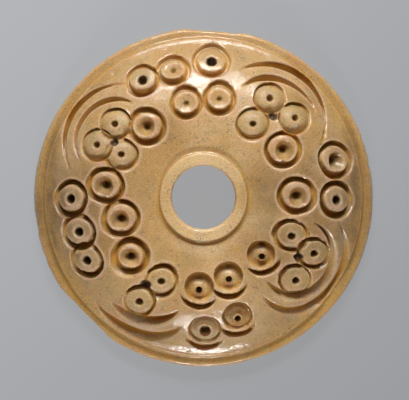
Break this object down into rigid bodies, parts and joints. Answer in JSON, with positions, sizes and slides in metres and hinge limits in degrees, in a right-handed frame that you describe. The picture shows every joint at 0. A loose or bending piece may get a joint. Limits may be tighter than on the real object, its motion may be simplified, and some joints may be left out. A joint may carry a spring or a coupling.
{
  "type": "carved spindle whorl",
  "caption": "Domed stone spindle whorl with a narrow flange, a raised collar round its central hole, and carved ring-and-dot circles and crescents.",
  "frame": {"origin": "centre of the flat underside, on the axis of the hole", "axes": "+Z along the hole from the underside to the collar, +Y towards the worn flat on the flange, +X to the right of it seen from above"},
  "size_m": [0.045, 0.0449, 0.0079],
  "materials": {
    "stone": "worn polish on honey-coloured translucent stone, with darker orange-brown dirt in the carving"
  },
  "bodies": {
    "root": {"whorl": "stone"}
  },
  "joints": []
}
